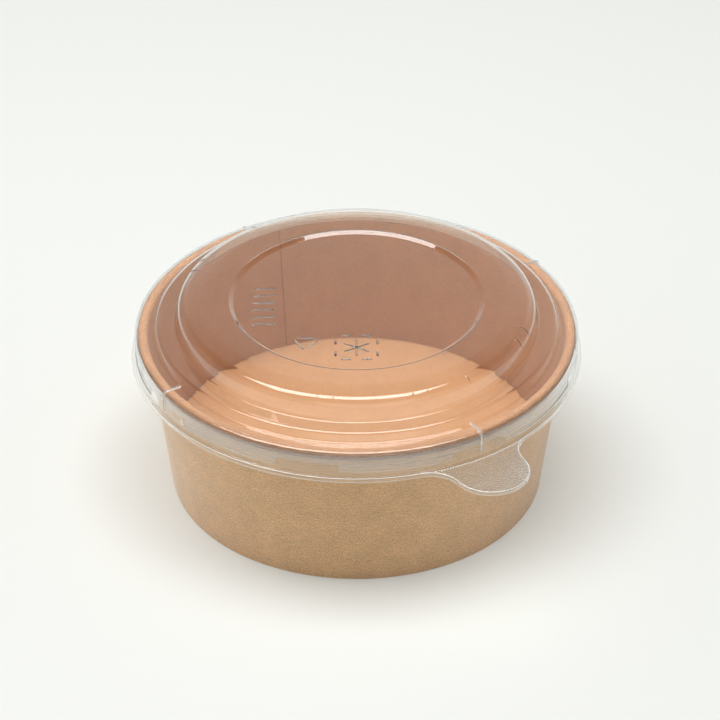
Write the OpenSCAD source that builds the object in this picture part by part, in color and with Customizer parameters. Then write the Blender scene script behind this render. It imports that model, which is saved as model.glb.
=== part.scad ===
// Round kraft paper bowl with a clear press-on lid.
// The origin is the centre of the foot on the table, +Z is up and -Y is the front.
// Azimuths are seen from above, from +X towards +Y.

/* [Bowl] */
// Outside diameter over the rolled rim
rim_d = 150; // [146:0.5:156]
// Outside diameter of the foot
base_d = 129.4; // [120:0.2:136]
// Height of the rolled rim's top above the table
bowl_h = 59.5; // [48:0.5:80]
// Thickness of the coated kraft paper
paper_t = 0.4; // [0.3:0.05:0.5]
// Diameter of the rolled rim's section
roll_d = 3.6; // [3.2:0.1:4.4]
// Height of the floor's upper face above the table
floor_z = 11; // [8:0.5:14]
// Gap between the floor's underside and the turned-up edge of the wall
hem_gap = 1.8; // [1:0.2:3]
// Width of the wall's glued overlap
seam_w = 8; // [5:0.5:12]
// Azimuth of the overlap's visible edge inside the bowl
seam_az = 113; // [60:1:150]

/* [Lid] */
// Thickness of the clear film
film_t = 0.35; // [0.25:0.05:0.45]
// Height of the lid's top above the rim
dome_h = 11.5; // [8:0.5:20]
// Height of the ledge above the rim
ledge_h = 3.4; // [2.5:0.1:5]
// Width of the flat ring that covers the rim
cover_w = 6.2; // [5.6:0.1:8]
// Width of the ledge
ledge_w = 6.1; // [4:0.1:8]
// Diameter of the sunk disc in the lid's top
recess_d = 84; // [60:1:100]
// Depth of the sunk disc
recess_h = 1; // [0.6:0.1:1.5]
// Depth by which the top slopes down towards its edge
crown_drop = 0.5; // [0.2:0.1:1]
// Width of that slope
crown_w = 8; // [6:0.5:10]
// Height of the skirt, from the cover ring down to the flange
skirt_h = 9.2; // [8.6:0.1:12]
// Width of the flange outside the skirt
flange_w = 1.3; // [1:0.1:3]
// Height of the lip that turns down around the flange and the tab
lip_h = 1.5; // [1:0.1:2.5]

/* [Snap beads and lugs] */
// Number of snap beads around the skirt
bead_n = 8; // [4:1:10]
// Angle that one snap bead spans
bead_span = 29; // [15:1:32]
// Azimuth of the middle of the first bead
bead_az = 10; // [0:1:44]
// Height of a bead
bead_h = 2.8; // [2:0.1:3.2]
// Depth of a bead's upper edge below the cover ring
bead_drop = 4.7; // [4.3:0.1:4.8]
// Azimuth of the first of the four lugs across the cover ring
lug_az = 32.5; // [20:0.5:40]
// Width of a lug
lug_w = 1.4; // [0.8:0.1:2.5]
// Height that a lug stands out of the film
lug_h = 0.4; // [0.2:0.1:0.8]

/* [Pull tab] */
// Azimuth of the tab
tab_az = 301.5; // [280:0.5:340]
// Diameter of the tab's round head
tab_head_d = 26; // [18:0.5:30]
// Distance from the flange's edge out to the middle of the head
tab_reach = 6.4; // [4:0.2:9]
// Radius of the hollow corners beside the tab
tab_corner_r = 10; // [4:0.5:14]

/* [Hidden] */
$fn = 96;

kraft = [0.77, 0.62, 0.46];
kraft_inside = [0.72, 0.56, 0.42];
clear_film = [0.9, 0.94, 0.95, 0.35];

// Slack between glued layers of paper, and between the rim and the lid
glue_gap = 0.05;
rest_gap = 0.15;
// Radial slack between the rim and the lid's skirt, and between the rim and a bead
skirt_gap = 0.55;
bead_gap = 0.12;

// Wall: a straight cone that runs tangent into the rolled rim
rim_r = rim_d / 2;
roll_line_r = roll_d / 2 - paper_t / 2;
roll_r = rim_r - roll_d / 2;
roll_z = bowl_h - roll_d / 2;
foot_r = base_d / 2 - paper_t / 2;
foot_z = paper_t / 2;
foot_to_roll = norm([roll_r - foot_r, roll_z - foot_z]);
wall_lean = atan2(roll_r - foot_r, roll_z - foot_z) - asin(roll_line_r / foot_to_roll);
wall_top_r = roll_r - roll_line_r * cos(wall_lean);
wall_top_z = roll_z + roll_line_r * sin(wall_lean);
layer = (paper_t + glue_gap) / cos(wall_lean);
fold_r = 0.3;
// The roll keeps its full radius over the top and the outside, then winds inside itself
roll_turn = 430;
roll_full_turn = 210;
roll_wind_turn = 130;
roll_gap = 0.1;
roll_pitch = paper_t + roll_gap;
// Height of the free edges inside the foot
hem_top_z = floor_z - paper_t - hem_gap;
skirt_foot_gap = 0.5;
skirt_foot_z = paper_t + skirt_foot_gap;
disc_corner_r = 0.8;
// The overlap ends a little above the floor and a little below the roll
seam_low_gap = 0.1;
seam_top_gap = 0.8;

// Lid radii, from the rim inwards and outwards
skirt_r = rim_r + skirt_gap + film_t;
cover_z = bowl_h + rest_gap + film_t;
riser_r = skirt_r - cover_w;
riser_lean = 1.4;
ledge_r = riser_r - riser_lean;
dome_foot_r = ledge_r - ledge_w;
dome_lean = 1.65;
dome_r = dome_foot_r - dome_lean;
ledge_z = bowl_h + ledge_h;
top_z = bowl_h + dome_h;
recess_slope = 1.5;
flange_z = cover_z - skirt_h;
flange_r = skirt_r + flange_w;
break_z = cover_z - bead_drop;
cover_edge_r = 1.5;
ledge_edge_r = 1.5;
dome_edge_r = 4;
crown_bend_r = 30;
inner_bend_r = 0.7;
outer_bend_r = 0.6;
skirt_bend_r = 0.4;

// Outer face of the lid as [radius, height, bend radius], from the middle outwards
lid_line = [
    [0, top_z - recess_h, 0],
    [recess_d / 2, top_z - recess_h, inner_bend_r],
    [recess_d / 2 + recess_slope, top_z, outer_bend_r],
    [dome_r - crown_w, top_z, crown_bend_r],
    [dome_r, top_z - crown_drop, dome_edge_r],
    [dome_foot_r, ledge_z, inner_bend_r],
    [ledge_r, ledge_z, ledge_edge_r],
    [riser_r, cover_z, inner_bend_r],
    [skirt_r, cover_z, cover_edge_r],
    [skirt_r, break_z - bead_h, 0],
    [skirt_r, flange_z, skirt_bend_r],
    [flange_r - film_t, flange_z, 0],
];

// Marks that stand out of the sunk disc
mark_h = 0.25;
mark_w = 0.9;
tally_n = 6;
tally_pitch = 4.4;
tally_len = 8;
tally_turn = 5;
tally_at = [-31.5, -4];
triangle_at = [-17, -26];
triangle_side = 9;
triangle_bar = 6.5;
star_at = [0, -29];
star_len = 10;
frame_side = 14;
dash_len = 3.4;

// Short ribs on the edge of the lid's top, in the same places on both halves
nib_azs = [257.5, 262.5, 288, 293, 308, 335, 342];
nib_w = 0.5;
nib_h = 0.12;
nib_drop = 2.2;
nib_run = 2.4;

// Distance from a corner to where its bend starts
function bend_run(p, q, s, r) = r * tan(abs(turn_at(p, q, s)) / 2);
function heading(p, q) = atan2(q[1] - p[1], q[0] - p[0]);
function turn_at(p, q, s) = let(d = heading(q, s) - heading(p, q)) d > 180 ? d - 360 : d < -180 ? d + 360 : d;
function unit(a) = [cos(a), sin(a)];
function flat(v) = [v[0], v[1]];

// Points of one rounded corner q between p and s
function bend(p, q, s, r, n = 6) =
    let(h = heading(p, q), a = turn_at(p, q, s), side = sign(a), start = flat(q) - unit(h) * bend_run(p, q, s, r))
    r == 0 ? [flat(q)] :
    [for (i = [0:n]) start + r * side * (unit(h + 90) - unit(h + 90 + a * i / n))];

// A line of [x, y, bend radius] corners as points
function bent_line(c) = [
    for (i = [0:len(c) - 1])
        each i == 0 || i == len(c) - 1 ? [flat(c[i])] : bend(c[i - 1], c[i], c[i + 1], c[i][2])
];

// The line moved sideways by d, to the left of its own direction
function side_step(p, i) =
    let(a = i == 0 ? heading(p[0], p[1]) : heading(p[i - 1], p[i]),
        t = i == 0 || i == len(p) - 1 ? 0 : turn_at(p[i - 1], p[i], p[i + 1]))
    unit(a + 90 + t / 2) / cos(t / 2);
function moved(p, d) = [for (i = [0:len(p) - 1]) p[i] + d * side_step(p, i)];
function reversed(p) = [for (i = [len(p) - 1:-1:0]) p[i]];

// Section of a sheet between the line moved by a and by b
function sheet(p, a, b) = concat(moved(p, a), reversed(moved(p, b)));

// Radius of the middle of a paper layer at height z, counted inwards from the wall
function layer_r(z, k) = foot_r + (z - foot_z) * tan(wall_lean) - k * layer;

// The roll's centre line, from the top of the wall over and round
function roll_shrink(t) =
    t < roll_full_turn ? 0 : roll_pitch * (1 - cos(180 * min(1, (t - roll_full_turn) / roll_wind_turn))) / 2;
roll_line = [
    for (t = [0:10:roll_turn])
        [roll_r, roll_z] + (roll_line_r - roll_shrink(t)) * unit(180 - wall_lean - t)
];

// The wall's centre line, from its free edge inside the foot
wall_line = concat(
    bent_line([
        [layer_r(hem_top_z, 2), hem_top_z, 0],
        [layer_r(foot_z, 2), foot_z, fold_r],
        [layer_r(foot_z, 0), foot_z, fold_r],
        [wall_top_r, wall_top_z, 0],
    ]),
    [for (i = [1:len(roll_line) - 1]) roll_line[i]]
);

// The bottom's centre line, from the middle to the foot of its skirt
disc_line = bent_line([
    [0, floor_z - paper_t / 2, 0],
    [layer_r(floor_z - paper_t / 2, 1), floor_z - paper_t / 2, disc_corner_r],
    [layer_r(skirt_foot_z, 1), skirt_foot_z, 0],
]);

lid_face = bent_line(lid_line);

// Second thickness of paper on the inner face, where the sheet's ends overlap
module seam() {
    low_z = floor_z + seam_low_gap;
    top_z = wall_top_z - seam_top_gap;
    half = paper_t / 2 / cos(wall_lean);
    span = seam_w / layer_r(floor_z, 0) * 180 / PI;
    rotate([0, 0, seam_az - span])
        rotate_extrude(angle = span)
            polygon([
                [layer_r(low_z, 0) - 3 * half, low_z],
                [layer_r(low_z, 0), low_z],
                [layer_r(top_z, 0), top_z],
                [layer_r(top_z, 0) - 3 * half, top_z],
            ]);
}

// One sheet: turned-up lower edge, cone, overlap and rolled rim
module side_wall() {
    color(kraft)
        union() {
            rotate_extrude() polygon(sheet(wall_line, -paper_t / 2, paper_t / 2));
            seam();
        }
}

// Round floor with its edge turned down into the wall's fold
module bottom_disc() {
    color(kraft_inside)
        rotate_extrude() polygon(sheet(disc_line, -paper_t / 2, paper_t / 2));
}

// Rib on the lid's outer face that follows its line between two radii and above a height. Both ends
// run part of the way to the next point, so that they cross a face of the lid and not its edge
module face_rib(az, width, height, r_in, r_out, low_z) {
    on = [for (i = [1:len(lid_face) - 2]) let(p = lid_face[i]) if (p[0] >= r_in && p[0] <= r_out && p[1] >= low_z) i];
    first = on[0];
    last = on[len(on) - 1];
    run = concat(
        [(lid_face[first - 1] + lid_face[first]) / 2],
        [for (i = on) lid_face[i]],
        [0.7 * lid_face[last] + 0.3 * lid_face[last + 1]]
    );
    span = width / r_out * 180 / PI;
    rotate([0, 0, az - span / 2])
        rotate_extrude(angle = span)
            polygon(sheet(run, height, -film_t / 2));
}

// Snap bead: the skirt pressed inwards over part of a turn
module bead_bump(span) {
    in_r = rim_r + bead_gap;
    wall_r = skirt_r - film_t / 2;
    low_z = break_z - bead_h;
    slope = skirt_r - film_t - in_r;
    rotate_extrude(angle = span)
        polygon([
            [wall_r, break_z + film_t],
            [in_r, break_z - slope],
            [in_r, low_z + slope],
            [wall_r, low_z - film_t],
        ]);
}

module bead_groove(span) {
    in_r = rim_r + bead_gap + film_t;
    open_r = skirt_r + film_t;
    low_z = break_z - bead_h;
    slope = skirt_r - in_r;
    rotate_extrude(angle = span)
        polygon([
            [open_r, break_z + film_t],
            [in_r, break_z - slope],
            [in_r, low_z + slope],
            [open_r, low_z - film_t],
        ]);
}

// Outline of flange and tab, drawn in by a distance
module flange_outline(inset) {
    edge_r = flange_r - inset;
    head_r = tab_head_d / 2 - inset;
    corner_r = tab_corner_r + inset;
    head_x = flange_r + tab_reach;
    far = edge_r + corner_r;
    near = head_r + corner_r;
    corner_a = acos((far * far + head_x * head_x - near * near) / (2 * far * head_x));
    circle(r = edge_r, $fn = 180);
    rotate(tab_az) {
        translate([head_x, 0]) circle(r = head_r);
        difference() {
            polygon([[0, 0], far * unit(-corner_a), [head_x, 0], far * unit(corner_a)]);
            for (s = [-1, 1])
                translate(far * unit(s * corner_a)) circle(r = corner_r);
        }
    }
}

module flange() {
    translate([0, 0, flange_z - film_t])
        linear_extrude(film_t)
            difference() {
                flange_outline(0);
                circle(r = skirt_r + film_t, $fn = 180);
            }
    translate([0, 0, flange_z - lip_h])
        linear_extrude(lip_h)
            difference() {
                flange_outline(0);
                flange_outline(film_t);
            }
}

// One raised stroke on the sunk disc
module stroke(at, angle, length) {
    translate([at[0], at[1], top_z - recess_h - film_t / 2])
        rotate([0, 0, angle])
            translate([-length / 2, -mark_w / 2, 0])
                cube([length, mark_w, mark_h + film_t / 2]);
}

// A tally of plain bars, a plain triangle, and a six-armed star in a broken square
module marks() {
    for (i = [0:tally_n - 1])
        stroke(tally_at + [0, (i - (tally_n - 1) / 2) * tally_pitch], tally_turn, tally_len);
    for (a = [90:120:330])
        stroke(triangle_at + triangle_side / (2 * sqrt(3)) * unit(a), a + 90, triangle_bar);
    for (a = [30:60:150])
        stroke(star_at, a, star_len);
    for (a = [0:90:270], s = [-1, 1])
        stroke(star_at + frame_side / 2 * unit(a) + s * frame_side / 4 * unit(a + 90), a + 90, dash_len);
}

// One formed sheet of clear film
module lid() {
    bead_end = film_t / skirt_r * 180 / PI;
    color(clear_film)
        union() {
            difference() {
                union() {
                    rotate_extrude() polygon(sheet(lid_face, 0, -film_t));
                    for (i = [0:bead_n - 1])
                        rotate([0, 0, bead_az + i * 360 / bead_n - bead_span / 2 - bead_end])
                            bead_bump(bead_span + 2 * bead_end);
                }
                for (i = [0:bead_n - 1])
                    rotate([0, 0, bead_az + i * 360 / bead_n - bead_span / 2])
                        bead_groove(bead_span);
            }
            flange();
            for (a = [0:90:270])
                face_rib(lug_az + a, lug_w, lug_h, riser_r, skirt_r, break_z - bead_h);
            for (a = nib_azs, half = [0, 180])
                face_rib(a + half, nib_w, nib_h, dome_r - nib_run, dome_foot_r, top_z - nib_drop);
            marks();
        }
}

side_wall();
bottom_disc();
lid();
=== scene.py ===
# Looks of a kraft paper bowl with a clear press-on lid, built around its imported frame.
import math

import bpy
import numpy as np
from bpy.props import FloatProperty, FloatVectorProperty, IntProperty, PointerProperty
from bpy.types import NodeSocket, Operator, Panel, PropertyGroup
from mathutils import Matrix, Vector


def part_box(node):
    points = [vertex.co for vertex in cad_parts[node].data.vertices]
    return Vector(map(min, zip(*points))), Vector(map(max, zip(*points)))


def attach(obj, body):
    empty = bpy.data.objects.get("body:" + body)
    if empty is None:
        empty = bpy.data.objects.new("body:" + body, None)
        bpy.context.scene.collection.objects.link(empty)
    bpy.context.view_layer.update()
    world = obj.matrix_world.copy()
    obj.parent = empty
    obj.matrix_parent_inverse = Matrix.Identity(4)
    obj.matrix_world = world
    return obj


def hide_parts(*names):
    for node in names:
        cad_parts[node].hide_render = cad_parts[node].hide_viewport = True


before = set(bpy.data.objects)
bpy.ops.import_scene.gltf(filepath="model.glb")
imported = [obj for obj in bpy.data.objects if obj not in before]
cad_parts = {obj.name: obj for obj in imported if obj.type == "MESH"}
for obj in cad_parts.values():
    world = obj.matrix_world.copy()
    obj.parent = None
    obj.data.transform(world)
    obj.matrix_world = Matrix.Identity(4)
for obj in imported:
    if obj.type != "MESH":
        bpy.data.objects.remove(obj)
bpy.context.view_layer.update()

bl_info = {
    "name": "Kraft bowl with clear lid",
    "version": (1, 0, 0),
    "blender": (4, 5, 0),
    "location": "3D View > Sidebar > Bowl",
    "description": "Builds the paper, film and studio of a lidded kraft bowl",
    "category": "Object",
}

MM = 0.001
WALL_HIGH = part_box("side_wall")[1]
FLOOR_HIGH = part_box("bottom_disc")[1]
LID_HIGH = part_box("lid")[1]
NIB_H = 0.12 * MM


def linear(hex_colour):
    """An sRGB hex colour as linear red, green and blue."""
    parts = [int(hex_colour[i:i + 2], 16) / 255 for i in (0, 2, 4)]
    return [c / 12.92 if c <= 0.04045 else ((c + 0.055) / 1.055) ** 2.4 for c in parts]


def length(name, description, default):
    """A length that the user may change."""
    return FloatProperty(name=name, description=description, default=default, min=0, unit="LENGTH")


def angle(name, description, degrees):
    """An angle that the user may change."""
    return FloatProperty(name=name, description=description, default=math.radians(degrees), unit="ROTATION")


def colour(name, description, hex_colour):
    """A colour that the user may change."""
    return FloatVectorProperty(name=name, description=description, default=linear(hex_colour), size=3,
                               min=0, max=1, subtype="COLOR")


class BowlPaper(PropertyGroup):
    """Sizes and colours of the paper bowl."""

    rim_d: length("Rim", "Diameter over the rolled rim", 2 * WALL_HIGH.x)
    foot_d: length("Foot", "Diameter of the foot", 129.4 * MM)
    height: length("Height", "Height of the rolled rim", WALL_HIGH.z)
    paper_t: length("Paper", "Thickness of the coated paper", 0.4 * MM)
    roll_d: length("Roll", "Diameter of the rolled rim's section", 3.6 * MM)
    floor_z: length("Floor", "Height of the floor's upper face", FLOOR_HIGH.z)
    hem_gap: length("Hem gap", "Gap between the floor and the turned-up edge", 1.8 * MM)
    glue_gap: length("Glue gap", "Gap between two glued layers", 0.05 * MM)
    seam_w: length("Overlap", "Width of the wall's glued overlap", 8 * MM)
    seam_az: angle("Overlap's place", "Azimuth of the overlap's edge inside the bowl", 113)
    outside: colour("Outside", "Bare kraft outside", "D0A678")
    inside: colour("Inside", "Coated kraft of the wall", "BA8863")
    floor: colour("Floor", "Coated kraft of the floor", "C8956B")
    fleck: colour("Flecks", "Dark fibres and bark flecks", "8A5F3B")


class LidFilm(PropertyGroup):
    """Sizes of the clear lid."""

    film_t: length("Film", "Thickness of the film", 0.35 * MM)
    top_z: length("Top", "Height of the lid's top", LID_HIGH.z)
    ledge_h: length("Ledge", "Height of the ledge above the rim", 3.4 * MM)
    crown_drop: length("Crown", "Depth by which the top slopes down towards its edge", 0.5 * MM)
    crown_w: length("Crown width", "Width of that slope", 8 * MM)
    cover_w: length("Cover ring", "Width of the ring over the rim", 6.2 * MM)
    ledge_w: length("Ledge width", "Width of the ledge", 6.1 * MM)
    recess_d: length("Sunk disc", "Diameter of the sunk disc", 84 * MM)
    recess_h: length("Sunk depth", "Depth of the sunk disc", 1 * MM)
    skirt_h: length("Skirt", "Height of the skirt", 9.2 * MM)
    flange_w: length("Flange", "Width of the flange", 1.3 * MM)
    lip_h: length("Lip", "Height of the turned-down lip", 1.5 * MM)
    rest_gap: length("Rest gap", "Gap between rim and cover ring", 0.15 * MM)
    skirt_gap: length("Skirt gap", "Gap between rim and skirt", 0.55 * MM)
    bead_n: IntProperty(name="Beads", description="Number of snap beads", default=8, min=1)
    bead_span: angle("Bead length", "Angle that a bead spans", 29)
    bead_az: angle("First bead", "Azimuth of the first bead's middle", 10)
    bead_h: length("Bead height", "Height of a bead", 2.8 * MM)
    bead_drop: length("Bead drop", "Depth of a bead's top below the cover ring", 4.7 * MM)
    bead_in: length("Bead depth", "How far a bead is pressed in", 0.43 * MM)
    lug_az: angle("First lug", "Azimuth of the first of four lugs", 32.5)
    lug_w: length("Lug width", "Width of a lug", 1.4 * MM)
    lug_h: length("Lug height", "Height of a lug", 0.4 * MM)
    tab_az: angle("Tab", "Azimuth of the pull tab", 301.5)
    tab_d: length("Tab width", "Diameter of the tab's head", 26 * MM)
    tab_reach: length("Tab reach", "Distance from the flange to the head's middle", 6.4 * MM)
    tab_corner: length("Tab corners", "Radius of the hollow corners", 10 * MM)
    tint: colour("Tint", "What the film lets through", "FAFBFA")


class BowlStage(PropertyGroup):
    """Camera and light."""

    pitch: angle("Pitch", "Angle at which the camera looks down", 34.144)
    distance: length("Distance", "From the camera to the point that it looks at", 1158.6 * MM)
    lens: FloatProperty(name="Lens", description="Focal length on a 36 mm sensor", default=164.35,
                        unit="CAMERA")
    target_x: FloatProperty(name="Target X", description="Point that the camera looks at",
                            default=1.16 * MM, unit="LENGTH")
    target_y: length("Target Y", "Point that the camera looks at", 21 * MM)
    target_z: length("Target Z", "Point that the camera looks at", 31 * MM)
    backdrop: colour("Backdrop", "Floor and background", "F6F8F4")
    key_power: FloatProperty(name="Key", description="Power of the softbox above", default=11.5,
                             unit="POWER")
    ambient: FloatProperty(name="Tent", description="Strength of the white tent's light", default=0.52,
                           min=0)


def direction(turn):
    """Unit vectors at angles in radians."""
    return np.stack([np.cos(turn), np.sin(turn)], axis=-1)


def smooth(low, high, x):
    """0 below low, 1 above high and an even curve between them."""
    t = np.clip((x - low) / (high - low), 0, 1)
    return t * t * (3 - 2 * t)


def swell(x):
    """1 at 0, 0 at 1 and an even curve between them."""
    return 0.5 + 0.5 * np.cos(np.pi * x)


def rounded_line(corners, steps=5):
    """Points along corners given as (x, y, bend radius), with each bend as an arc."""
    points = [np.array(corners[0][:2])]
    for before, corner, after in zip(corners, corners[1:], corners[2:]):
        p, q, s = (np.array(c[:2]) for c in (before, corner, after))
        into = (q - p) / np.linalg.norm(q - p)
        out = (s - q) / np.linalg.norm(s - q)
        swing = math.atan2(into[0] * out[1] - into[1] * out[0], into @ out)
        radius = corner[2]
        if radius == 0:
            points.append(q)
            continue
        heading = math.atan2(into[1], into[0])
        side = math.copysign(1, swing)
        start = q - into * radius * math.tan(abs(swing) / 2)
        centre = start + side * radius * direction(heading + math.pi / 2)
        for i in range(steps + 1):
            points.append(centre - side * radius * direction(heading + math.pi / 2 + swing * i / steps))
    points.append(np.array(corners[-1][:2]))
    return np.array(points)


def spaced(points, longest):
    """The same line with points no further apart than longest."""
    out = [points[0]]
    for p, q in zip(points, points[1:]):
        pieces = max(1, math.ceil(np.linalg.norm(q - p) / longest))
        out += [p + (q - p) * i / pieces for i in range(1, pieces + 1)]
    return np.array(out)


def left_normals(points):
    """Offsets to the left of a line that keep a sheet's thickness through its corners."""
    steps = np.diff(points, axis=0)
    headings = np.unwrap(np.arctan2(steps[:, 1], steps[:, 0]))
    before = np.concatenate([headings[:1], headings])
    after = np.concatenate([headings, headings[-1:]])
    half = (after - before) / 2
    return direction((before + after) / 2 + math.pi / 2) / np.cos(half)[:, None]


def run_lengths(points):
    """Length along a line up to each of its points."""
    return np.concatenate([[0], np.cumsum(np.linalg.norm(np.diff(points, axis=0), axis=1))])


def quads(rows, columns, loop):
    """Corner rows and columns of each face of a skin whose columns close round the axis."""
    i, j = np.meshgrid(np.arange(rows if loop else rows - 1), np.arange(columns), indexing="ij")
    i, j = i.ravel(), j.ravel()
    return np.stack([i, i + 1, i + 1, i], axis=1), np.stack([j, j, j + 1, j + 1], axis=1)


def skin(name, rings, uvs, materials, finish, loop):
    """A closed mesh through rings of points. A loop joins the last ring to the first, and
    otherwise both end rings close on the axis. finish gives each face's material."""
    rows, columns = rings.shape[:2]
    row, column = quads(rows, columns, loop)
    vertices = rings.reshape(-1, 3)
    faces = ((row % rows) * columns + column % columns).tolist()
    corner_uvs = uvs[row, column].reshape(-1, 2)
    slots = finish(row[:, 0], column[:, 0])
    if not loop:
        around = np.arange(columns)
        first, last = len(vertices), len(vertices) + 1
        ends = [[0, 0, rings[0, 0, 2]], [0, 0, rings[-1, 0, 2]]]
        vertices = np.concatenate([vertices, ends])
        end_row = (rows - 1) * columns
        caps = [[first, j, (j + 1) % columns] for j in around.tolist()]
        caps += [[end_row + j, last, end_row + (j + 1) % columns] for j in around.tolist()]
        faces += caps
        corner_uvs = np.concatenate([corner_uvs, vertices[np.array(caps).ravel(), :2]])
        slots = np.concatenate([slots, np.full(columns, slots[0]), np.full(columns, slots[-1])])
    mesh = bpy.data.meshes.new(name)
    mesh.from_pydata(vertices.tolist(), [], faces)
    for material in materials:
        mesh.materials.append(material)
    mesh.polygons.foreach_set("material_index", slots.astype(np.int32))
    mesh.uv_layers.new(name="sheet").data.foreach_set("uv", corner_uvs.astype(np.float32).ravel())
    return placed(name, mesh)


def placed(name, mesh):
    """The mesh as an object in the scene, smooth apart from its sharp edges."""
    mesh.polygons.foreach_set("use_smooth", [True] * len(mesh.polygons))
    mesh.set_sharp_from_angle(angle=math.radians(40))
    mesh.update()
    made = bpy.data.objects.new(name, mesh)
    bpy.context.scene.collection.objects.link(made)
    flat = made.modifiers.new("flat faces stay flat beside bends", "WEIGHTED_NORMAL")
    flat.keep_sharp = True
    return made


def node(tree, kind, settings, inputs):
    """Adds a node. Inputs are values, or another node's outputs to link from."""
    made = tree.nodes.new(kind)
    for name, value in settings.items():
        setattr(made, name, value)
    for name, value in inputs.items():
        if isinstance(value, NodeSocket):
            tree.links.new(value, made.inputs[name])
        else:
            made.inputs[name].default_value = value
    return made


def material(name):
    """An empty material, its node tree and its output."""
    made = bpy.data.materials.new(name)
    made.use_nodes = True
    tree = made.node_tree
    tree.nodes.clear()
    return made, tree, node(tree, "ShaderNodeOutputMaterial", {}, {})


def kraft(name, tone, fleck, roughness, contrast=1.0, fuzz=0.1):
    """Unbleached kraft paper, rolled and calendered. Long brown fibres lie flat in it, so the eye sees
    a soft cloudy tone with fine light and dark hairs and a few bark flecks."""
    cloud_size = 9 * MM
    grain_size = 0.55 * MM
    hair_length = 3.2 * MM
    hair_width = 0.3 * MM
    fleck_spacing = 2.6 * MM
    made, tree, output = material(name)
    sheet = node(tree, "ShaderNodeTexCoord", {}, {}).outputs["UV"]
    cloud = node(tree, "ShaderNodeTexNoise", {}, {
        "Vector": sheet, "Scale": 1 / cloud_size, "Detail": 3.0}).outputs["Fac"]
    grain = node(tree, "ShaderNodeTexNoise", {}, {
        "Vector": sheet, "Scale": 1 / grain_size, "Detail": 3.0, "Roughness": 0.6}).outputs["Fac"]
    along = node(tree, "ShaderNodeMapping", {}, {
        "Vector": sheet, "Rotation": (0, 0, math.radians(9)), "Scale": (hair_width / hair_length, 1, 1)})
    hair = node(tree, "ShaderNodeTexNoise", {}, {
        "Vector": along.outputs["Vector"], "Scale": 1 / hair_width, "Detail": 1.0,
        "Distortion": 0.6}).outputs["Fac"]
    spot = node(tree, "ShaderNodeTexVoronoi", {}, {
        "Vector": sheet, "Scale": 1 / fleck_spacing}).outputs["Distance"]
    dark = node(tree, "ShaderNodeMapRange", {}, {
        "Value": spot, "From Min": 0.06, "From Max": 0.16, "To Min": 0.3, "To Max": 0.0}).outputs["Result"]
    shade = None
    for source, swing in ((cloud, 0.04), (grain, 0.2), (hair, -0.07)):
        swing *= contrast
        step = node(tree, "ShaderNodeMapRange", {}, {
            "Value": source, "From Min": 0.3, "From Max": 0.7, "To Min": 1 - swing, "To Max": 1 + swing})
        shade = step.outputs["Result"] if shade is None else node(
            tree, "ShaderNodeMath", {"operation": "MULTIPLY"}, {
                0: shade, 1: step.outputs["Result"]}).outputs["Value"]
    toned = node(tree, "ShaderNodeVectorMath", {"operation": "SCALE"}, {
        0: tuple(tone), "Scale": shade}).outputs["Vector"]
    mixed = node(tree, "ShaderNodeMix", {"data_type": "RGBA"}, {
        0: dark, 6: toned, 7: (*fleck, 1)}).outputs[2]
    height = node(tree, "ShaderNodeMath", {"operation": "ADD"}, {0: grain, 1: hair}).outputs["Value"]
    bump = node(tree, "ShaderNodeBump", {}, {
        "Height": height, "Strength": 0.35, "Distance": 0.04 * MM}).outputs["Normal"]
    paper = node(tree, "ShaderNodeBsdfPrincipled", {}, {
        "Base Color": mixed, "Roughness": roughness, "IOR": 1.5, "Normal": bump,
        "Sheen Weight": fuzz, "Sheen Roughness": 0.5})
    tree.links.new(paper.outputs["BSDF"], output.inputs["Surface"])
    return made


def clear_pet(name, tint, roughness, grit, depth, clarity=1.0):
    """PET film, thermoformed. It is clear and glossy, with long shallow waves from the mould in its
    reflections; a stippled mould leaves it frosted. Lowered clarity makes it milky and pale, which stands
    in for bright reflections and highlights as painted light. Lamps shine through it."""
    made, tree, output = material(name)
    place = node(tree, "ShaderNodeTexCoord", {}, {}).outputs["Object"]
    waves = node(tree, "ShaderNodeTexNoise", {}, {"Vector": place, "Scale": 1 / grit, "Detail": 1.0})
    bump = node(tree, "ShaderNodeBump", {}, {
        "Height": waves.outputs["Fac"], "Strength": 1.0, "Distance": depth}).outputs["Normal"]
    film = node(tree, "ShaderNodeBsdfPrincipled", {}, {
        "Base Color": (*tint, 1), "Roughness": roughness, "IOR": 1.62, "Transmission Weight": clarity,
        "Normal": bump}).outputs["BSDF"]
    through = node(tree, "ShaderNodeBsdfTransparent", {}, {"Color": (*tint, 1)}).outputs["BSDF"]
    lamp = node(tree, "ShaderNodeLightPath", {}, {}).outputs["Is Shadow Ray"]
    both = node(tree, "ShaderNodeMixShader", {}, {0: lamp, 1: film, 2: through}).outputs["Shader"]
    tree.links.new(both, output.inputs["Surface"])
    return made


def seen(tree):
    """1 where the camera, a reflection or the view through the film meets the surface."""
    path = node(tree, "ShaderNodeLightPath", {}, {}).outputs
    shiny = node(tree, "ShaderNodeMath", {"operation": "MAXIMUM"}, {
        0: path["Is Glossy Ray"], 1: path["Is Transmission Ray"]}).outputs["Value"]
    return node(tree, "ShaderNodeMath", {"operation": "MAXIMUM"}, {
        0: path["Is Camera Ray"], 1: shiny}).outputs["Value"]


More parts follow.
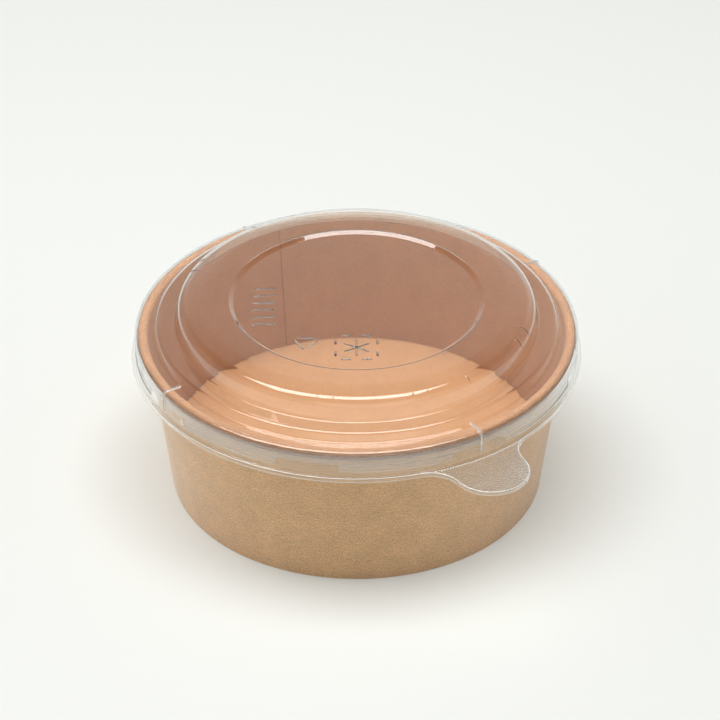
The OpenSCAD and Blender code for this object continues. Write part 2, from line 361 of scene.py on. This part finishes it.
def studio_paper(name, tone, own_light):
    """Matt white studio paper. Part of what is seen of it is its own even light, so that it stays pale
    and its shadows stay soft."""
    made, tree, output = material(name)
    lit = node(tree, "ShaderNodeBsdfDiffuse", {}, {"Color": (*tone, 1)}).outputs["BSDF"]
    even = node(tree, "ShaderNodeEmission", {}, {"Color": (*tone, 1), "Strength": 1.0}).outputs["Emission"]
    share = node(tree, "ShaderNodeMath", {"operation": "MULTIPLY"}, {
        0: seen(tree), 1: own_light}).outputs["Value"]
    both = node(tree, "ShaderNodeMixShader", {}, {0: share, 1: lit, 2: even}).outputs["Shader"]
    tree.links.new(both, output.inputs["Surface"])
    return made


def merged(azimuths, closest):
    """Azimuths in order round one turn, without those that lie too close to the one before."""
    ordered = np.sort(np.mod(azimuths, 2 * math.pi))
    kept = [ordered[0]]
    for azimuth in ordered[1:]:
        if azimuth - kept[-1] > closest:
            kept.append(azimuth)
    return np.array(kept)


def turned(radii, heights, azimuths):
    """Rings of points at radii and heights of shape (rows, columns)."""
    flat = radii[..., None] * direction(azimuths)
    return np.concatenate([flat, heights[..., None]], axis=-1)


class Wall:
    """The wall's centre line, worked out from the paper's sizes."""

    def __init__(self, p):
        t = p.paper_t
        self.roll_line_r = (p.roll_d - t) / 2
        self.roll_at = np.array([(p.rim_d - p.roll_d) / 2, p.height - p.roll_d / 2])
        self.foot = np.array([(p.foot_d - t) / 2, t / 2])
        reach = self.roll_at - self.foot
        self.lean = math.atan2(reach[0], reach[1]) - math.asin(self.roll_line_r / np.linalg.norm(reach))
        self.top = self.roll_at + self.roll_line_r * direction(math.pi - self.lean)
        self.layer = (t + p.glue_gap) / math.cos(self.lean)

    def radius(self, z, layers_in):
        """Radius of the middle of a layer at a height, counted inwards from the wall."""
        return self.foot[0] + (z - self.foot[1]) * math.tan(self.lean) - layers_in * self.layer

    def roll(self, p):
        """Centre line of the rolled rim, from the wall's top over and round into itself."""
        full, wind, end = 210, 130, 430
        turns = np.arange(10, end + 1, 10)
        inwards = (1 - np.cos(np.pi * np.clip((turns - full) / wind, 0, 1))) / 2
        radii = self.roll_line_r - (p.paper_t + 0.1 * MM) * inwards
        return self.roll_at + radii[:, None] * direction(math.pi - self.lean - np.radians(turns))


class BOWL_OT_side_wall(Operator):
    """Builds the wrapped paper wall with its overlap, folded foot and rolled rim"""

    bl_idname = "bowl.side_wall"
    bl_label = "Side wall"

    def execute(self, context):
        p = context.scene.bowl_paper
        wall = Wall(p)
        t = p.paper_t
        hem_z = p.floor_z - t - p.hem_gap
        fold_r = 0.3 * MM
        step = 0.06 * MM
        roll_rise = 0.1 * MM
        lap_rise = 0.25 * MM
        step_shadow_w = 0.25 * MM
        seam_low = p.floor_z + 0.1 * MM
        seam_top = wall.top[1] - 0.8 * MM
        marks = [seam_low - step, seam_low, seam_top, seam_top + step]
        corners = [
            (wall.radius(hem_z, 2), hem_z, 0),
            (wall.radius(wall.foot[1], 2), wall.foot[1], fold_r),
            (wall.foot[0], wall.foot[1], fold_r),
            *[(wall.radius(z, 0), z, 0) for z in marks],
            (*wall.top, 0),
        ]
        line = np.concatenate([spaced(rounded_line(corners), 8 * MM), wall.roll(p)])
        side = left_normals(line) * t / 2
        rows = np.concatenate([line + side, (line - side)[::-1]])
        out = np.concatenate([side, -side[::-1]]) / (t / 2)

        seam_span = p.seam_w / wall.radius(p.floor_z, 0)
        edge = step / wall.foot[0]
        far_edge = p.seam_az - seam_span
        base = np.arange(0, 2 * math.pi, math.radians(1.25))
        step_shadow_turn = step_shadow_w / wall.foot[0]
        extra = [p.seam_az, p.seam_az + edge, p.seam_az + step_shadow_turn, far_edge - edge, far_edge]
        ramp = far_edge + np.linspace(0, 0.4, 5) * seam_span
        az = merged(np.concatenate([base, extra, ramp]), edge * 0.9)

        count = len(line)
        on_wall = np.arange(count) >= np.argmax(line[:, 1] >= seam_low - step / 2)
        on_roll = np.arange(count) >= count - len(wall.roll(p))
        rolled = np.clip(np.arange(count) - (count - len(wall.roll(p))), 0, None)
        inner_rise = np.where(on_wall & (line[:, 1] < seam_top + step / 2) & ~on_roll, t, 0)
        over_roll = on_wall & (on_roll | (inner_rise == 0)) & (rolled < 18)
        inner_rise = np.where(over_roll, roll_rise, inner_rise)
        above_fold = smooth(wall.foot[1] + fold_r, wall.foot[1] + 1 * MM, line[:, 1])
        outer_layer = line[:, 0] > wall.radius(line[:, 1], 0.5)
        outer_rise = np.where(on_roll, 0, lap_rise * above_fold * outer_layer)
        inside = smooth(far_edge, far_edge + 0.4 * seam_span, az) * (az <= p.seam_az + edge / 2)
        lap = math.radians(24)
        outside = (az > far_edge - edge / 2) * (1 - smooth(far_edge, far_edge + lap, az))
        rise = np.concatenate([inner_rise[:, None] * inside, outer_rise[::-1, None] * outside])
        radii = rows[:, :1] + out[:, :1] * rise
        heights = rows[:, 1:] + out[:, 1:] * rise

        along = run_lengths(line)
        v = np.concatenate([along, along[::-1], along[:1]])
        u = np.append(az, az[0] + 2 * math.pi) * p.rim_d / 2
        uvs = np.stack(np.meshgrid(u, v), axis=-1)
        # Painted shadow: a darker copy of the coated kraft along the overlap's inner edge, where its step
        # casts shade.
        dark = [c * 0.88 for c in p.inside]
        # Painted shade: a darker copy of the coated kraft on the roll's outer flank, where the lid's skirt
        # shades it.
        flank_shade_tone = [c * 0.72 for c in p.inside]
        rolled_from = count - len(wall.roll(p))

        def finish(row, column):
            """Bare outside, coated inside and rougher over the roll, with painted shade on the roll's flank
            and a painted shadow along the overlap's edge."""
            face = np.where(row < rolled_from - 1, 1, np.where(row < count - 1, 2, 0))
            # Rows of the roll's outer flank that carry the painted shade.
            flank = (row >= rolled_from + 12) & (row < rolled_from + 22)
            in_step_shadow = (az[column] >= p.seam_az - edge / 2) & (az[column] < p.seam_az + step_shadow_turn * 0.9)
            return np.where(flank, 4, np.where(in_step_shadow & (face > 0), 3, face))

        made = skin("kraft_wall", turned(radii, heights, az), uvs, [
            kraft("kraft paper, bare", p.outside, p.fleck, 0.78, 1.8, 0.55),
            kraft("kraft paper, film coated wall", p.inside, p.fleck, 0.5),
            kraft("kraft paper, rolled rim", p.inside, p.fleck, 0.8, 2.0),
            kraft("kraft paper, painted shadow by the overlap", dark, p.fleck, 0.8),
            kraft("kraft paper, painted shade on the roll's flank", flank_shade_tone, p.fleck, 0.7, 3.0),
        ], finish, True)
        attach(made, "bowl")
        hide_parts("side_wall")
        return {"FINISHED"}


class BOWL_OT_floor_disc(Operator):
    """Builds the round floor with its turned-down edge"""

    bl_idname = "bowl.floor_disc"
    bl_label = "Floor disc"

    def execute(self, context):
        p = context.scene.bowl_paper
        wall = Wall(p)
        t = p.paper_t
        mid_z = p.floor_z - t / 2
        skirt_foot = t + 0.5 * MM
        start_r = 6 * MM
        line = spaced(rounded_line([
            (start_r, mid_z, 0),
            (wall.radius(mid_z, 1), mid_z, 0.8 * MM),
            (wall.radius(skirt_foot, 1), skirt_foot, 0),
        ]), 6 * MM)
        side = left_normals(line) * t / 2
        rows = np.concatenate([line + side, (line - side)[::-1]])
        az = np.radians(np.arange(0, 360, 2))
        rings = turned(*(np.repeat(rows[:, k:k + 1], len(az), axis=1) for k in (0, 1)), az)
        wrapped = np.concatenate([rings, rings[:, :1]], axis=1)
        made = skin("kraft_floor", rings, wrapped[..., :2], [
            kraft("kraft paper, film coated floor", p.floor, p.fleck, 0.45),
            kraft("kraft paper, bare underside", p.outside, p.fleck, 0.78),
        ], lambda row, column: np.where(row < len(line), 0, 1), False)
        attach(made, "bowl")
        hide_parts("bottom_disc")
        return {"FINISHED"}


def tab_outline(lid, flange_r):
    """Half of the tab's outline as points and outward directions, from the flange to the tip. X runs
    along the tab's middle."""
    head = np.array([flange_r + lid.tab_reach, 0])
    head_r = lid.tab_d / 2
    far = flange_r + lid.tab_corner
    near = head_r + lid.tab_corner
    corner_turn = math.acos((far ** 2 + head[0] ** 2 - near ** 2) / (2 * far * head[0]))
    corner = far * direction(corner_turn)
    meet = math.atan2(*(corner - head)[::-1])
    hollow = direction(np.linspace(corner_turn, meet, 20))
    round_head = direction(np.linspace(meet, 0, 30))[1:]
    points = np.concatenate([corner - lid.tab_corner * hollow, head + head_r * round_head])
    return points, np.concatenate([hollow, round_head])


def mirrored(points):
    """Points with their mirror image below the X axis, from low to high azimuth."""
    return np.concatenate([points * [1, -1], points[-2::-1]])


class BOWL_OT_clear_lid(Operator):
    """Builds the formed film lid with its beads, lugs, flange and pull tab"""

    bl_idname = "bowl.clear_lid"
    bl_label = "Clear lid"

    def execute(self, context):
        lid = context.scene.bowl_lid
        paper = context.scene.bowl_paper
        t = lid.film_t
        skirt_r = paper.rim_d / 2 + lid.skirt_gap + t
        cover_z = paper.height + lid.rest_gap + t
        flange_z = cover_z - lid.skirt_h
        flange_r = skirt_r + lid.flange_w
        riser_r = skirt_r - lid.cover_w
        riser_lean = 1.4 * MM
        dome_lean = 1.65 * MM
        sunk_lean = 1.5 * MM
        ledge_r = riser_r - riser_lean
        dome_foot_r = ledge_r - lid.ledge_w
        dome_r = dome_foot_r - dome_lean
        ledge_z = paper.height + lid.ledge_h
        sunk_z = lid.top_z - lid.recess_h
        sunk_r = lid.recess_d / 2
        bead_z = cover_z - lid.bead_drop
        ramp = 0.7 * MM
        bead_rows = [*np.linspace(bead_z, bead_z - ramp, 5),
                     *np.linspace(bead_z - lid.bead_h + ramp, bead_z - lid.bead_h, 5)]
        bend = 0.7 * MM
        soft_bend = 1.5 * MM
        dome_bend = 4 * MM
        corners = [
            (8 * MM, sunk_z, 0),
            (sunk_r, sunk_z, bend),
            (sunk_r + sunk_lean, lid.top_z, 0.6 * MM),
            (dome_r - lid.crown_w, lid.top_z, 30 * MM),
            (dome_r, lid.top_z - lid.crown_drop, dome_bend),
            (dome_foot_r, ledge_z, bend),
            (ledge_r, ledge_z, soft_bend),
            (riser_r, cover_z, bend),
            (skirt_r, cover_z, soft_bend),
            *[(skirt_r, z, 0) for z in bead_rows],
            (skirt_r, flange_z, 0.4 * MM),
            (skirt_r + 0.45 * MM, flange_z, 0),
        ]
        line = spaced(rounded_line(corners), 7 * MM)
        side = left_normals(line)

        points, outward = (mirrored(half) for half in tab_outline(lid, flange_r))
        tab_turns = np.arctan2(points[:, 1], points[:, 0])
        nibs = np.radians([257.5, 262.5, 288, 293, 308, 335, 342])
        nibs = np.concatenate([nibs, nibs + math.pi])
        lugs = lid.lug_az + np.arange(4) * math.pi / 2
        beads = lid.bead_az + np.arange(lid.bead_n) * 2 * math.pi / lid.bead_n
        bead_ends = np.concatenate([beads - lid.bead_span / 2, beads + lid.bead_span / 2])
        nib_half = 0.35 * MM / dome_r
        lug_half = lid.lug_w / 2 / skirt_r
        end_half = 0.6 * MM / skirt_r
        crowd = [
            (nibs, nib_half * np.array([-1, -0.66, -0.33, 0, 0.33, 0.66, 1])),
            (lugs, lug_half * np.array([-1.2, -0.9, -0.6, -0.3, 0, 0.3, 0.6, 0.9, 1.2])),
            (bead_ends, end_half * np.array([-1, -0.5, 0, 0.5, 1])),
        ]
        az = merged(np.concatenate([
            np.arange(0, 2 * math.pi, math.radians(1.6)),
            lid.tab_az + tab_turns,
            *[(at[:, None] + near).ravel() for at, near in crowd],
        ]), math.radians(0.045))

        def off(turns, width):
            """0 on the nearest of these azimuths and 1 at a width from it and beyond."""
            gap = np.abs(np.mod(az[:, None] - turns + math.pi, 2 * math.pi) - math.pi).min(axis=1)
            return np.clip(gap / width, 0, 1)

        from_tab = np.mod(az - lid.tab_az + math.pi, 2 * math.pi) - math.pi
        on_tab = np.abs(from_tab) < tab_turns[-1]
        edge = flange_r * direction(from_tab)
        edge_out = direction(from_tab)
        for k in (0, 1):
            edge[:, k] = np.where(on_tab, np.interp(from_tab, tab_turns, points[:, k]), edge[:, k])
            edge_out[:, k] = np.where(on_tab, np.interp(from_tab, tab_turns, outward[:, k]), edge_out[:, k])
        edge_out /= np.linalg.norm(edge_out, axis=1)[:, None]
        turn = np.array([[math.cos(lid.tab_az), math.sin(lid.tab_az)],
                         [-math.sin(lid.tab_az), math.cos(lid.tab_az)]])
        edge = edge @ turn
        edge_out = edge_out @ turn

        middle = np.abs(np.mod(az[:, None] - beads + math.pi, 2 * math.pi) - math.pi).min(axis=1)
        pressed = 1 - smooth(lid.bead_span / 2 - end_half, lid.bead_span / 2 + end_half, middle)
        z = line[:, 1]
        r = line[:, 0]
        in_bead = (1 - smooth(bead_z - ramp, bead_z, z)) * smooth(bead_z - lid.bead_h,
                                                                    bead_z - lid.bead_h + ramp, z)
        lug_rows = smooth(riser_r - 0.6 * MM, riser_r + 0.6 * MM, r) * smooth(
            bead_z - lid.bead_h - 0.1 * MM, bead_z - lid.bead_h + ramp, z)
        nib_rows = smooth(dome_r - 2.6 * MM, dome_r - 1.9 * MM, r) * smooth(
            lid.top_z - 2.6 * MM, lid.top_z - 1.9 * MM, z) * (r < dome_foot_r)
        rise = (lid.lug_h * np.outer(lug_rows, swell(off(lugs, lug_half * 1.1)))
                + NIB_H * np.outer(nib_rows, swell(off(nibs, nib_half)))
                - lid.bead_in * np.outer(in_bead, pressed))

        def shell(depth):
            """Rings of one face of the film, from the middle out to the flange."""
            out = side[:, None, :] * (rise - depth)[..., None] + line[:, None, :]
            return turned(out[..., 0], out[..., 1], az)

        lip_r = 0.8 * MM
        hinge_r = flange_r + 0.1 * MM
        curve = np.radians(np.linspace(0, 90, 5))
        low = -lid.lip_h
        tip = t / 2
        over = [(lip_r - lip_r * math.sin(a), lip_r * (math.cos(a) - 1)) for a in curve]
        under_r = lip_r - t
        under = [(lip_r - under_r * math.sin(a), under_r * math.cos(a) - lip_r) for a in curve[::-1]]
        round_tip = [(tip - tip * math.cos(a), low + tip - tip * math.sin(a))
                     for a in np.radians([0, 45, 90, 135, 180])]

        def ring(flat, height):
            """A ring of points at one height."""
            return np.concatenate([flat, np.full((len(az), 1), height)], axis=1)

        def rim_rings(profile):
            """Rings at (depth inside the outline, height) pairs."""
            return np.array([ring(edge - edge_out * depth, flange_z + height) for depth, height in profile])

        def web(height):
            """Rings across the flange and the tab, between the skirt and the lip."""
            start_r = line[-1, 0]
            start = start_r * direction(az)
            stop = edge - edge_out * lip_r
            reach = np.linalg.norm(stop, axis=1)
            hinge = np.clip((hinge_r - start_r) / (reach - start_r), 0.05, 0.5)
            shares = (hinge * 0.8, hinge * 1.1, 0.55 + hinge * 0.45)
            return np.array([ring(start + (stop - start) * share[:, None], height) for share in shares])

        top = [shell(0), web(flange_z), rim_rings(over + round_tip)]
        bottom = [rim_rings(under), web(flange_z - t)[::-1], shell(t)[::-1]]
        rings = np.concatenate(top + bottom)
        frosted_first = len(line) + 1
        frosted_last = len(rings) - len(line) - 3

        half = len(rings) / 2 - 1
        mid_z = (z[:-1] + z[1:]) / 2
        # Rows of the skirt's band whose milky film is a painted reflection.
        milky_rows = np.flatnonzero((mid_z < cover_z - 2.6 * MM) & (mid_z > bead_z - lid.bead_h))
        upper_line = np.flatnonzero((mid_z < cover_z - 2.6 * MM) & (mid_z > bead_z))
        curl_row = len(line) + 3
        lug_line = np.flatnonzero((r[:-1] > riser_r - 0.6 * MM) & (mid_z > bead_z - lid.bead_h))
        on_lug = off(lugs, lug_half) < 0.9

        def finish(row, column):
            """Whitened along the lip's edges as a painted highlight, frosted on the tab outside its hinge
            line, milky on the skirt's upper band, beads and lugs as a painted reflection, and clear
            elsewhere."""
            tab = (row >= frosted_first) & (row <= frosted_last) & on_tab[column]
            from_middle = np.where(row > half, len(rings) - 2 - row, row)
            drawn = (from_middle >= milky_rows[0]) & (from_middle <= milky_rows[-1])
            upper = from_middle <= upper_line[-1]
            bead = drawn & (upper | (pressed[column] > 0.5))
            lug = (from_middle >= lug_line[0]) & (from_middle <= lug_line[-1]) & on_lug[column]
            # Rows along the lip whose whitened film is a painted highlight.
            edge_line = (row == curl_row + 1) | ((row >= curl_row + 5) & (row < curl_row + 9))
            return np.where(edge_line, 3, np.where(tab, 1, np.where(bead | lug, 2, 0)))

        wrapped = np.concatenate([rings, rings[:, :1]], axis=1)
        made = skin("clear_lid", rings, wrapped[..., :2], [
            clear_pet("PET film, glossy", lid.tint, 0.03, 16 * MM, 0.015 * MM),
            clear_pet("PET film, stippled", lid.tint, 0.1, 0.5 * MM, 0.12 * MM, 0.96),
            clear_pet("PET film, milky for painted reflections", lid.tint, 0.12, 6 * MM, 0.03 * MM, 0.88),
            clear_pet("PET film, whitened for painted highlights", lid.tint, 0.1, 6 * MM, 0.01 * MM, 0.4),
        ], finish, False)
        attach(made, "lid")
        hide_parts("lid")
        return {"FINISHED"}


def raised_bar(at, turn, size, height):
    """Points and faces of a low swelling with round ends, lying on a flat face."""
    long, wide = size
    levels = [1, 0.8, 0.6, 0.4, 0.2]
    ends = np.radians(np.arange(0, 360, 30)) + math.radians(15)
    run = (long - wide) / 2
    rings = []
    for level in levels:
        flat = direction(ends) * wide / 2 * level
        flat[:, 0] += np.sign(np.cos(ends)) * run
        rings.append(np.column_stack([flat, np.full(len(ends), height * swell(level))]))
    root = 0.05 * MM
    sunk = rings[0] - [0, 0, root]
    points = np.concatenate([sunk, *rings])
    spin = np.array([[math.cos(turn), math.sin(turn)], [-math.sin(turn), math.cos(turn)]])
    points[:, :2] = points[:, :2] @ spin
    points += at
    n = len(ends)
    faces = [[k * n + j, k * n + (j + 1) % n, (k + 1) * n + (j + 1) % n, (k + 1) * n + j]
             for k in range(len(levels)) for j in range(n)]
    faces += [list(range(n))[::-1], list(range(len(levels) * n, (len(levels) + 1) * n))]
    return points, faces


def bars(name, items, finish):
    """One object from many raised bars."""
    points, faces = [], []
    for item in items:
        some, theirs = raised_bar(*item)
        faces += [[len(points) + v for v in face] for face in theirs]
        points += some.tolist()
    mesh = bpy.data.meshes.new(name)
    mesh.from_pydata(points, [], faces)
    mesh.materials.append(finish)
    made = placed(name, mesh)
    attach(made, "lid")
    return made


class BOWL_OT_lid_marks(Operator):
    """Builds the plain raised marks on the sunk disc and the dots along the tab's hinge line"""

    bl_idname = "bowl.lid_marks"
    bl_label = "Lid marks"

    def execute(self, context):
        lid = context.scene.bowl_lid
        paper = context.scene.bowl_paper
        film = bpy.data.materials["PET film, glossy"]
        z = lid.top_z - lid.recess_h
        wide, high = 0.9 * MM, 0.25 * MM

        def stroke(x, y, degrees, long):
            return (x * MM, y * MM, z), math.radians(degrees), (long * MM, wide), high

        def around(x, y, out, degrees):
            way = out * direction(math.radians(degrees))
            return x + way[0], y + way[1]

        tally = [stroke(-31.5, -4 + (i - 2.5) * 4.4, 5, 8) for i in range(6)]
        triangle_in = 9 / (2 * math.sqrt(3))
        triangle = [stroke(*around(-17, -26, triangle_in, a), a + 90, 6.5) for a in (90, 210, 330)]
        star = [stroke(0, -29, a, 10) for a in (30, 90, 150)]
        square = []
        for a in (0, 90, 180, 270):
            for s in (-3.5, 3.5):
                x, y = around(*around(0, -29, 7, a), s, a + 90)
                square.append(stroke(x, y, a + 90, 3.4))
        bars("lid_marks", tally + triangle + star + square, film)

        skirt_r = paper.rim_d / 2 + lid.skirt_gap + lid.film_t
        hinge_r = skirt_r + lid.flange_w + 0.1 * MM
        flange_z = paper.height + lid.rest_gap + lid.film_t - lid.skirt_h
        dots = []
        for turn in np.arange(math.radians(289.5), math.radians(315), 1.05 * MM / hinge_r):
            x, y = hinge_r * direction(turn)
            dots.append(((x, y, flange_z), turn, (0.75 * MM, 0.6 * MM), 0.22 * MM))
        # The dots are whitened film, a painted highlight.
        bars("tab_hinge_dots", dots, bpy.data.materials["PET film, whitened for painted highlights"])
        return {"FINISHED"}


class BOWL_OT_stage(Operator):
    """Builds the camera, floor, softbox and the white tent's light"""

    bl_idname = "bowl.stage"
    bl_label = "Stage"

    def execute(self, context):
        stage = context.scene.bowl_stage
        scene = context.scene
        target = np.array([stage.target_x, stage.target_y, stage.target_z])
        back = np.array([0, -math.cos(stage.pitch), math.sin(stage.pitch)])
        camera = bpy.data.cameras.new("camera")
        camera.lens = stage.lens
        camera.sensor_width = 36
        camera.clip_start = 0.05
        view = bpy.data.objects.new("camera", camera)
        view.location = target + back * stage.distance
        view.rotation_euler = (math.pi / 2 - stage.pitch, 0, 0)
        scene.collection.objects.link(view)
        scene.camera = view

        half = 4
        self.board("floor", [(-half, -half, 0), (half, -half, 0), (half, half, 0), (-half, half, 0)],
                   studio_paper("studio paper, matt white", stage.backdrop, 0.2))
        self.softbox("key", at=(-0.12, 0, 1.15), towards=(-0.12, 0, 0.05), size=(1.15, 0.6),
                     power=stage.key_power)

        world = bpy.data.worlds.new("studio air")
        world.use_nodes = True
        tree = world.node_tree
        tree.nodes.clear()
        way = node(tree, "ShaderNodeTexCoord", {}, {}).outputs["Generated"]
        parts = node(tree, "ShaderNodeSeparateXYZ", {}, {"Vector": way}).outputs
        leftwards = node(tree, "ShaderNodeMath", {"operation": "SUBTRACT"}, {0: parts["X"], 1: 0.1})
        aside = node(tree, "ShaderNodeMath", {"operation": "ABSOLUTE"}, {0: leftwards.outputs["Value"]})
        sides = node(tree, "ShaderNodeMapRange", {"interpolation_type": "SMOOTHSTEP"}, {
            "Value": aside.outputs["Value"], "From Min": 0.2, "From Max": 1.05, "To Min": 0.35,
            "To Max": 2.5}).outputs["Result"]
        roof = node(tree, "ShaderNodeMapRange", {"interpolation_type": "SMOOTHSTEP"}, {
            "Value": parts["Z"], "From Min": 0.3, "From Max": 0.7, "To Min": stage.ambient,
            "To Max": stage.ambient * 0.35}).outputs["Result"]
        tent = node(tree, "ShaderNodeMath", {"operation": "MULTIPLY"}, {0: sides, 1: roof}).outputs["Value"]
        even = node(tree, "ShaderNodeBackground", {}, {
            "Color": (1, 1, 1, 1), "Strength": tent}).outputs["Background"]
        walls = node(tree, "ShaderNodeMapRange", {"interpolation_type": "SMOOTHSTEP"}, {
            "Value": parts["Z"], "From Min": 0.3, "From Max": 0.8, "To Min": 1.0,
            "To Max": 0.12}).outputs["Result"]
        darker = node(tree, "ShaderNodeMapRange", {"interpolation_type": "SMOOTHSTEP"}, {
            "Value": aside.outputs["Value"], "From Min": 0.3, "From Max": 0.65, "To Min": 1.0,
            "To Max": 0.45}).outputs["Result"]
        far = node(tree, "ShaderNodeMath", {"operation": "MULTIPLY"}, {
            0: walls, 1: darker}).outputs["Value"]
        pale = node(tree, "ShaderNodeBackground", {}, {
            "Color": (*stage.backdrop, 1), "Strength": far}).outputs["Background"]
        both = node(tree, "ShaderNodeMixShader", {}, {0: seen(tree), 1: even, 2: pale}).outputs["Shader"]
        node(tree, "ShaderNodeOutputWorld", {}, {"Surface": both})
        scene.world = world

        scene.view_settings.view_transform = "Standard"
        return {"FINISHED"}

    def board(self, name, corners, finish):
        """A flat four-cornered piece of the stage."""
        mesh = bpy.data.meshes.new(name)
        mesh.from_pydata(corners, [], [(0, 1, 2, 3)])
        mesh.materials.append(finish)
        made = bpy.data.objects.new(name, mesh)
        bpy.context.scene.collection.objects.link(made)

    def softbox(self, name, at, towards, size, power):
        """A soft lamp, wide and high as size says, that faces a point."""
        lamp = bpy.data.lights.new(name, "AREA")
        lamp.shape = "RECTANGLE"
        lamp.size, lamp.size_y = size
        lamp.energy = power
        box = bpy.data.objects.new(name, lamp)
        box.location = at
        way = Vector(at) - Vector(towards)
        box.rotation_euler = way.to_track_quat("Z", "Y").to_euler()
        bpy.context.scene.collection.objects.link(box)


class VIEW3D_PT_bowl(Panel):
    """Lists the bowl's pieces and its stage"""

    bl_label = "Kraft bowl"
    bl_idname = "VIEW3D_PT_bowl"
    bl_space_type = "VIEW_3D"
    bl_region_type = "UI"
    bl_category = "Bowl"

    def draw(self, context):
        for maker in MAKERS:
            self.layout.operator(maker.bl_idname)


GROUPS = {"bowl_paper": BowlPaper, "bowl_lid": LidFilm, "bowl_stage": BowlStage}
MAKERS = (BOWL_OT_stage, BOWL_OT_side_wall, BOWL_OT_floor_disc, BOWL_OT_clear_lid, BOWL_OT_lid_marks)


def register():
    for group in GROUPS.values():
        bpy.utils.register_class(group)
    for name, group in GROUPS.items():
        setattr(bpy.types.Scene, name, PointerProperty(type=group))
    for maker in MAKERS:
        bpy.utils.register_class(maker)
    bpy.utils.register_class(VIEW3D_PT_bowl)


def unregister():
    bpy.utils.unregister_class(VIEW3D_PT_bowl)
    for maker in reversed(MAKERS):
        bpy.utils.unregister_class(maker)
    for name, group in GROUPS.items():
        delattr(bpy.types.Scene, name)
        bpy.utils.unregister_class(group)


def main():
    register()
    bpy.ops.bowl.stage()
    bpy.ops.bowl.side_wall()
    bpy.ops.bowl.floor_disc()
    bpy.ops.bowl.clear_lid()
    bpy.ops.bowl.lid_marks()


if __name__ == "__main__":
    main()
